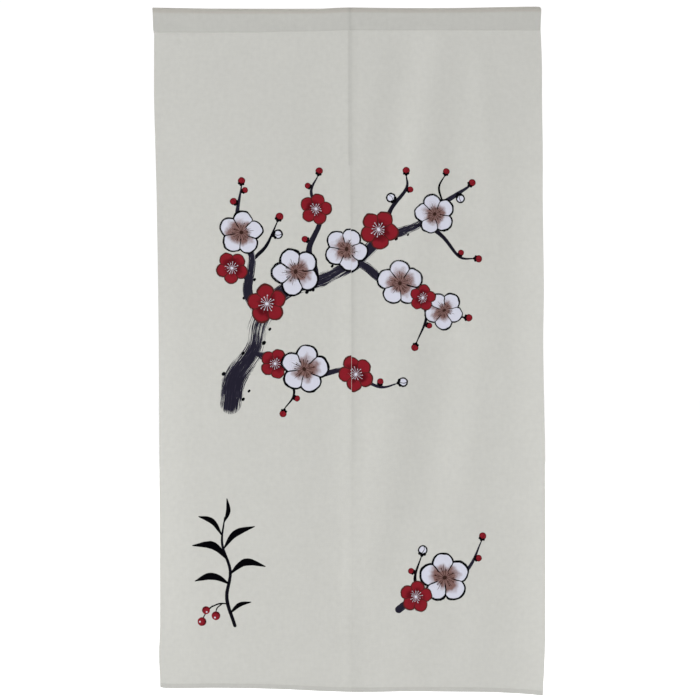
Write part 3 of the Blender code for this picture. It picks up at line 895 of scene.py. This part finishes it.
def hang_panel(name, side, materials):
    """One panel: a flat grid of cloth, mapped and printed while flat, then hung in its folds."""
    edge, even = EDGE_COLUMNS[-1], PANEL_WIDTH - EDGE_COLUMNS[-1]
    columns = [*EDGE_COLUMNS]
    columns += [edge + even * i / EVEN_COLUMNS for i in range(1, EVEN_COLUMNS + 1)]
    rows = PANEL_ROWS + len(HEM_ROWS)
    cloth = bmesh.new()
    bmesh.ops.create_grid(cloth, x_segments=len(columns) - 1, y_segments=rows, size=0.5)
    backing_shade = cloth.verts.layers.float.new("backing_shade")
    outer = "right" if side > 0 else "left"
    flat = {}
    hung = {}
    for vert in cloth.verts:
        from_seam = columns[round((vert.co.x + 0.5) * (len(columns) - 1))]
        row = round((0.5 - vert.co.y) * rows)
        share = min(row / PANEL_ROWS, 1.0)
        drop = HEADING_HEIGHT + (CURTAIN_LENGTH - HEADING_HEIGHT) * share
        inner_edge = read_rows(PANEL_EDGES, "drop", "middle", drop) + side * PANEL_GAP / 8
        outer_edge = read_rows(PANEL_EDGES, "drop", outer, drop)
        x = inner_edge + (outer_edge - inner_edge) * from_seam / PANEL_WIDTH
        top = read_rows(HEADING_FOOT, "x", "drop", x) + PIECE_GAP
        foot = read_rows(BOTTOM_EDGE, "x", "drop", x) - HEM_FOLD_RADIUS
        past = HEM_ROWS[row - PANEL_ROWS - 1] if row > PANEL_ROWS else 0.0
        drop = top + (foot - top) * share
        if 0 < PANEL_ROWS - row <= len(FOOT_ROWS):
            drop = foot - FOOT_ROWS[row - PANEL_ROWS]
        u = side * from_seam
        flat[vert] = (u, drop + past)
        behind, above = hem_place(past)
        sewn = ramp((SEAM_FOOT + SEAM_END / 2 - drop) / SEAM_END)
        rolled = SEAM_ROLL * sewn * max(0.0, 1.0 - from_seam / SEAM_ROLL_WIDTH) ** 2
        free = (1.0 - sewn) * max(0.0, 1.0 - from_seam / FREE_EDGE_WIDTH)
        passed = -EDGE_CURL * free * free if side > 0 else EDGE_SET_BACK * free
        x += EDGE_OVERLAP * free * (side < 0)
        hung[vert] = (x, panel_front(x, u, drop) + rolled + passed + behind, -drop + above)
        # painted shade in the hem and beside the seam, for cloth behind that lets less light through, and
        # along the slit below the seam
        hem_shade = ramp((HEM_HEIGHT + HEM_RIM / 2 - (foot - drop)) / HEM_RIM)
        vert[backing_shade] = max(hem_shade, seam_shade(side, from_seam, drop, sewn))
    map_flat(cloth, flat)
    # the two halves of the print don't quite meet: the right one slipped down a little
    lay_print(cloth, {vert: (u, v - PRINT_SLIP * (side > 0)) for vert, (u, v) in flat.items()})
    for vert, place in hung.items():
        vert.co = place
    cloth.normal_update()
    cloth.faces.ensure_lookup_table()
    if cloth.faces[len(cloth.faces) // 2].normal.y > 0.0:
        bmesh.ops.reverse_faces(cloth, faces=cloth.faces)
    panel = finish_piece(cloth, name, materials)
    thickness = give_thickness(panel)
    thickness.use_even_offset = True
    thickness.material_offset = 1
    return panel


def new_material(name, roughness):
    """A new material: gives it, its node tree and its shader."""
    material = bpy.data.materials.new(name)
    material.use_nodes = True
    shader = material.node_tree.nodes["Principled BSDF"]
    shader.inputs["Roughness"].default_value = roughness
    return material, material.node_tree, shader


def feed(shader, name, signal):
    shader.id_data.links.new(signal.socket, shader.inputs[name])


CLOTH_ROUGHNESS = 0.88
CLOTH_SHEEN = 0.02
WEAVE_RELIEF = 0.00025
# how much painted shade darkens the heading where the panels' seam crosses it, and in the seam's own line
CROSSING_SHADE = 0.07
CROSSING_LINE_SHADE = 0.05


def cloth_material(name, print_strength=0.0, is_heading=False):
    """Matt woven cloth, with painted shade where its attribute says that more lies behind it, as less light
    comes through.
    """
    material, tree, shader = new_material(name, CLOTH_ROUGHNESS)
    height, weave_shade = use_group(tree, WEAVE)
    behind = wire(tree, "ShaderNodeAttribute", attribute_name="backing_shade", out=2)
    shade = weave_shade * (1.0 - (1.0 - BACKED_SHADE) * behind)
    base = CLOTH_COLOUR
    if is_heading:
        u, below, _ = wire(tree, "ShaderNodeUVMap", uv_map="cloth").parts()
        # painted shadow of the rod near the crown, warmer and darker
        clear_of_rod = ROD_SHADOW_FOOT + 3.0 * ROD_SHADOW_BLUR
        in_rod_shadow = abs(below).fade(clear_of_rod, ROD_SHADOW_FOOT - ROD_SHADOW_BLUR)
        base = tint(tree, in_rod_shadow, CLOTH_COLOUR, ROD_SHADOW_COLOUR)
        # painted shade where the panels' seam crosses the heading
        crossing = CROSSING_SHADE * abs(u).fade(0.0080, 0.0010)
        crossing = crossing + CROSSING_LINE_SHADE * abs(u).fade(0.0016, 0.0004)
        shade = shade * (1.0 - crossing)
    colour = wire(tree, "ShaderNodeVectorMath", base, None, None, shade, operation="SCALE")
    if print_strength:
        strength = wire(tree, "ShaderNodeValue")
        strength.socket.default_value = print_strength
        (colour,) = use_group(tree, PRINT, colour, strength)
    feed(shader, "Base Color", colour)
    feed(shader, "Normal", wire(tree, "ShaderNodeBump", 0.35, WEAVE_RELIEF, None, height))
    shader.inputs["Specular IOR Level"].default_value = CLOTH_SHEEN
    return material


SPARE_COLUMNS = (
    -0.0060, -0.0055, -0.0028, -0.0009, -0.0003, 0.0003, 0.0009, 0.0045, 0.0090, 0.0125, 0.0130,
)
SPARE_ROWS = 110
SPARE_TOP = 0.0513
SPARE_THICKNESS = CLOTH_THICKNESS * 0.8
SPARE_GAP = 0.0003
SPARE_CURL = 0.00035
SPARE_WAVER = Ripple(0.0004, 40.0, 60.0, 7.0)
CURL_WAVER = Ripple(1.0, 60.0, 25.0, 4.0)
# the spare cloth is drawn in along the stitches
SEAM_SINK = 0.00015
SEAM_SINK_WIDTH = 0.0008


def press_seam(material):
    """The spare cloth behind the centre seam, pressed open so that it lies along both panels."""
    cloth = bmesh.new()
    last = len(SPARE_COLUMNS) - 1
    bmesh.ops.create_grid(cloth, x_segments=last, y_segments=SPARE_ROWS, size=0.5)
    flat = {}
    for vert in cloth.verts:
        off = SPARE_COLUMNS[round((vert.co.x + 0.5) * last)]
        drop = SPARE_TOP + (SEAM_FOOT + SEAM_END / 2 - SPARE_TOP) * (0.5 - vert.co.y)
        off += ripple_depth(SPARE_WAVER, off, drop) * ramp(abs(off) / 0.005)
        x = read_rows(PANEL_EDGES, "drop", "middle", drop) + off
        curl = SPARE_CURL * (1.0 + ripple_depth(CURL_WAVER, off, drop)) * ramp(abs(off) / 0.006)
        sunk = SEAM_SINK * ramp(1.0 - abs(off) / SEAM_SINK_WIDTH)
        flat[vert] = (off, drop)
        vert.co = (x, panel_front(x, off, drop) + CLOTH_THICKNESS + SPARE_GAP + curl - sunk, -drop)
    map_flat(cloth, flat)
    spare = finish_piece(cloth, "seam_spare_cloth", [material])
    give_thickness(spare, SPARE_THICKNESS)
    return spare


seam_spare = press_seam(cloth_material("spare_cloth"))
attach(seam_spare, "root")

# the ink shows weakly through to the back
PRINT_ON_BACK = 0.30
panel_cloths = (cloth_material("printed_face", 1.0), cloth_material("printed_back", PRINT_ON_BACK))
for side, side_name in ((-1, "left"), (1, "right")):
    panel = hang_panel("cloth_" + side_name, side, panel_cloths)
    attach(panel, "root")
    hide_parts("panel_" + side_name)

# --------------------------------------------------------------------
# The heading
# The top of the cloth is turned over to the back and sewn down in one line, about 50 mm below
# the fold, so it forms a pocket for a thin rod. It is open at both ends.
# --------------------------------------------------------------------
ROD_POCKET_RADIUS = 0.0068
HEADING_STATIONS = 180
HEADING_WIDTH = 0.855
SEAM_LINE = 0.0495
HEADING_RIPPLE = Ripple(0.0004, 75.0, 30.0, 6.0)
HEADING_SLACK = Ripple(0.0006, 16.0, 20.0, 9.0)

# painted shade on the heading's front for how much lies behind it and lets less light through: its
# own back, the rod, and the lump of the panels' seam where the stitching crosses it
HEADING_SHADE = 1.22
ROD_SHADOW_STRENGTH = 0.60
LUMP_SHADE = 0.50
LUMP_X = 0.006
LUMP_WIDTH = 0.009
LUMP_TOP = 0.038
LUMP_FADE = 0.008

# the heading's top edge: place across, and how far it stands above the middle of the edge
TopRow = namedtuple("TopRow", "x rise")
HEADING_TOP = (
    TopRow(-0.4345, -0.0003),
    TopRow(-0.3740, -0.0013),
    TopRow(-0.3080, -0.0024),
    TopRow(-0.0660, -0.0026),
    TopRow(-0.0260, -0.0006),
    TopRow(0.0000, 0.0000),
    TopRow(0.0660, -0.0008),
    TopRow(0.1540, -0.0014),
    TopRow(0.2420, -0.0009),
    TopRow(0.3400, 0.0009),
    TopRow(0.4000, 0.0019),
    TopRow(0.4205, 0.0014),
)

# the heading's two ends: distance below its crown, and where each end is there
EndRow = namedtuple("EndRow", "below left right")
HEADING_ENDS = (
    EndRow(0.0000, -0.4342, 0.4160),
    EndRow(0.0030, -0.4346, 0.4192),
    EndRow(0.0090, -0.4340, 0.4206),
    EndRow(0.0240, -0.4335, 0.4200),
    EndRow(0.0440, -0.4330, 0.4195),
    EndRow(0.0520, -0.4320, 0.4195),
)

# half the pocket's section, from its shoulder down: distance below the crown, and half thickness
SectionRow = namedtuple("SectionRow", "below half")
CROWN_STEPS = 8
POCKET_SIDE = (
    SectionRow(0.0068, 0.0068),
    SectionRow(0.0100, 0.0067),
    SectionRow(0.0140, 0.0063),
    SectionRow(0.0180, 0.0057),
    SectionRow(0.0220, 0.0050),
    SectionRow(0.0260, 0.0043),
    SectionRow(0.0300, 0.0036),
    SectionRow(0.0340, 0.0030),
    SectionRow(0.0380, 0.0025),
    SectionRow(0.0420, 0.0020),
    SectionRow(0.0455, 0.0016),
    SectionRow(0.0480, 0.0012),
    SectionRow(0.0495, 0.0009),
    SectionRow(0.0508, 0.0013),
    SectionRow(0.0518, 0.0011),
    SectionRow(0.0520, 0.0004),
)


def pocket_ring():
    """The section's points from the front's foot over the crown to the back's foot."""
    side = []
    for step in range(CROWN_STEPS):
        angle = 0.5 * math.pi * step / CROWN_STEPS
        side.append((ROD_POCKET_RADIUS * (1.0 - math.cos(angle)), ROD_POCKET_RADIUS * math.sin(angle)))
    side += [(row.below, row.half) for row in POCKET_SIDE]
    return [(below, -half) for below, half in reversed(side)] + side[1:]


def heading_place(share, below, y):
    """A point of the heading: its crown follows the top edge, and its foot the panels' folds."""
    left, right = (read_rows(HEADING_ENDS, "below", end, below) for end in ("left", "right"))
    x = left + (right - left) * share
    hang = ramp(below / HEADING_HEIGHT)
    rise = read_rows(HEADING_TOP, "x", "rise", x) * (1.0 - hang)
    rise -= (read_rows(HEADING_FOOT, "x", "drop", x) - HEADING_HEIGHT) * hang
    ripple = ripple_depth(HEADING_RIPPLE, x, below, hang)
    midway = math.sin(math.pi * min(below / HEADING_HEIGHT, 1.0))
    slack = ripple_depth(HEADING_SLACK, x, below, midway)
    return Vector((x, y + fold_depth(x, below) * hang + ripple + slack, rise - below))


def sew_heading(materials):
    """The pocket's cloth as a sheet that runs up the front, over the rod and down the back."""
    ring = pocket_ring()
    cloth = bmesh.new()
    around = len(ring) - 1
    bmesh.ops.create_grid(cloth, x_segments=HEADING_STATIONS, y_segments=around, size=0.5)
    backing_shade = cloth.verts.layers.float.new("backing_shade")
    flat = {}
    for vert in cloth.verts:
        below, y = ring[round((vert.co.y + 0.5) * around)]
        vert.co = heading_place(vert.co.x + 0.5, below, y)
        flat[vert] = (vert.co.x, math.copysign(below, -y))
        # painted shadow of the rod near the crown, and painted shade over the seam's lump, on top of the
        # doubled cloth's painted shade
        in_rod_shadow = ramp((ROD_SHADOW_FOOT + ROD_SHADOW_BLUR - below) / (2.0 * ROD_SHADOW_BLUR))
        lump = bell((vert.co.x - LUMP_X) / LUMP_WIDTH) * ramp((below - LUMP_TOP) / LUMP_FADE)
        vert[backing_shade] = HEADING_SHADE + ROD_SHADOW_STRENGTH * in_rod_shadow + LUMP_SHADE * lump
    map_flat(cloth, flat)
    heading = finish_piece(cloth, "heading_cloth", materials)
    give_thickness(heading)
    return heading


heading = sew_heading([cloth_material("heading_cloth", is_heading=True)])
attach(heading, "root")
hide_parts("heading_casing")

# --------------------------------------------------------------------
# The sewing thread
# A lockstitch in thread of the cloth's colour holds the heading and both hems. Its short
# stitches sink a little into the cloth, on both faces of the heading and on the hems' front.
# --------------------------------------------------------------------
STITCH_PITCH = 0.0030
STITCH_LENGTH = 0.0025
STITCH_WIDTH = 0.00042
THREAD_COLOUR = (0.60, 0.60, 0.565)
THREAD_ROUGHNESS = 0.7
TWIST_RELIEF = 0.0001
# how far in front of the cloth's face the middle of the thread lies
THREAD_PROUD = 0.0001
# the heading's line: half the thickness there, and where it starts, as a share of the width
HEADING_LINE_HALF = 0.0009
HEADING_LINE_START = 0.002
# a hem's line: how far it lies below the hem's upper edge, and how far from its ends it starts
HEM_LINE_BELOW = 0.0015
HEM_LINE_START = 0.002


def thread_material():
    """Matt sewing thread, lighter and darker along its twist."""
    material, tree, shader = new_material("sewing_thread", THREAD_ROUGHNESS)
    place = wire(tree, "ShaderNodeTexCoord", out=3)
    twist = grain(tree, place, 2600.0)
    shade = 0.85 + 0.3 * twist
    colour = wire(tree, "ShaderNodeVectorMath", THREAD_COLOUR, None, None, shade, operation="SCALE")
    feed(shader, "Base Color", colour)
    feed(shader, "Normal", wire(tree, "ShaderNodeBump", 0.4, TWIST_RELIEF, None, twist))
    return material


def one_stitch():
    """A single stitch one unit long, a round-ended grain of thread along Z."""
    grain_of_thread = bmesh.new()
    bmesh.ops.create_uvsphere(grain_of_thread, u_segments=6, v_segments=4, radius=0.5)
    mesh = bpy.data.meshes.new("one_stitch")
    grain_of_thread.to_mesh(mesh)
    grain_of_thread.free()
    return mesh


def sew_line(thread, places):
    """Short stitches from place to place along a line."""
    size = Matrix.Diagonal((STITCH_WIDTH, STITCH_WIDTH * 0.8, STITCH_LENGTH, 1.0))
    for start, end in zip(places, places[1:]):
        turn = (end - start).to_track_quat("Z", "Y").to_matrix().to_4x4()
        stitch = STITCH.copy()
        stitch.transform(Matrix.Translation((start + end) / 2) @ turn @ size)
        thread.from_mesh(stitch)
        bpy.data.meshes.remove(stitch)


def steps_between(start, end, pitch=STITCH_PITCH):
    count = int((end - start) / pitch)
    return [start + (end - start) * i / count for i in range(count + 1)]


def heading_stitches(face):
    """The line along the heading's foot, on its front (-1) or its back (1)."""
    half = face * HEADING_LINE_HALF
    start, end = HEADING_LINE_START, 1.0 - HEADING_LINE_START
    return [
        heading_place(share, SEAM_LINE, half) + Vector((0.0, face * THREAD_PROUD, 0.0))
        for share in steps_between(start, end, STITCH_PITCH / HEADING_WIDTH)
    ]


def hem_stitches(side):
    """The line that holds a panel's hem, seen on its front."""
    places = []
    for from_seam in steps_between(HEM_LINE_START, PANEL_WIDTH - HEM_LINE_START):
        edges = [read_rows(PANEL_EDGES, "drop", e, CURTAIN_LENGTH) for e in ("left", "middle", "right")]
        x = edges[1] + (edges[1 + side] - edges[1]) * from_seam / PANEL_WIDTH
        drop = read_rows(BOTTOM_EDGE, "x", "drop", x) - HEM_HEIGHT + HEM_LINE_BELOW
        places.append(Vector((x, panel_front(x, side * from_seam, drop) - THREAD_PROUD, -drop)))
    return places


STITCH = one_stitch()
thread = bmesh.new()
for face in (-1, 1):
    sew_line(thread, heading_stitches(face))
for side in (-1, 1):
    sew_line(thread, hem_stitches(side))
stitches = finish_piece(thread, "sewing_thread", [thread_material()])
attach(stitches, "root")

# --------------------------------------------------------------------
# The studio
# A pale floor under and behind the curtain, a white room for light from all round, and large
# soft lamps, most from the left, so that the folds show faintly.
# --------------------------------------------------------------------
FLOOR_DROP = 1.62
FLOOR_SIZE = 60.0
FLOOR_COLOUR = (0.92, 0.92, 0.92, 1.0)
FLOOR_ROUGHNESS = 0.9
WHITE = (1.0, 1.0, 1.0, 1.0)
# the light that floor and room give off, and how much brighter the camera sees them
FLOOR_LIGHT, FLOOR_SEEN = 0.09, 0.76
ROOM_LIGHT, ROOM_SEEN = 0.18, 0.87

floor = bmesh.new()
bmesh.ops.create_grid(floor, x_segments=1, y_segments=1, size=FLOOR_SIZE / 2)
bmesh.ops.translate(floor, verts=floor.verts, vec=(0.0, 0.0, -FLOOR_DROP))
floor_material, floor_tree, floor_shader = new_material("pale_floor", FLOOR_ROUGHNESS)
floor_shader.inputs["Base Color"].default_value = FLOOR_COLOUR
floor_shader.inputs["Specular IOR Level"].default_value = 0.0
floor_shader.inputs["Emission Color"].default_value = WHITE
floor_seen = wire(floor_tree, "ShaderNodeLightPath", out=0)
feed(floor_shader, "Emission Strength", floor_seen * FLOOR_SEEN + FLOOR_LIGHT)
finish_piece(floor, "studio_floor", [floor_material])

world = bpy.data.worlds.new("white_room")
bpy.context.scene.world = world
world.use_nodes = True
room = world.node_tree.nodes["Background"]
room_seen = wire(world.node_tree, "ShaderNodeLightPath", out=0)
feed(room, "Strength", room_seen * ROOM_SEEN + ROOM_LIGHT)
room.inputs["Color"].default_value = WHITE

# each lamp is turned to the middle of the curtain
LAMP_AIM = Vector((0.0, 0.0, -0.75))
Lamp = namedtuple("Lamp", "name x y z width height power")
LAMPS = (
    Lamp(name="left_softbox", x=-9.8, y=-6.9, z=-1.0, width=4.8, height=1.2, power=945.0),
    Lamp(name="right_softbox", x=9.2, y=-7.7, z=-0.2, width=2.8, height=2.8, power=258.0),
    Lamp(name="low_fill", x=0.0, y=-3.0, z=-1.32, width=2.4, height=0.5, power=14.6),
    Lamp(name="top_fill", x=0.0, y=0.4, z=2.2, width=1.6, height=0.8, power=35.0),
    Lamp(name="back_fill", x=3.0, y=9.0, z=2.0, width=5.0, height=5.0, power=550.0),
)
for lamp in LAMPS:
    light = bpy.data.lights.new(lamp.name, "AREA")
    light.shape = "RECTANGLE"
    light.size = lamp.width
    light.size_y = lamp.height
    light.energy = lamp.power
    holder = bpy.data.objects.new(lamp.name, light)
    holder.location = (lamp.x, lamp.y, lamp.z)
    holder.rotation_euler = (LAMP_AIM - holder.location).to_track_quat("-Z", "Y").to_euler()
    bpy.context.scene.collection.objects.link(holder)

bpy.context.scene.view_settings.view_transform = "Standard"
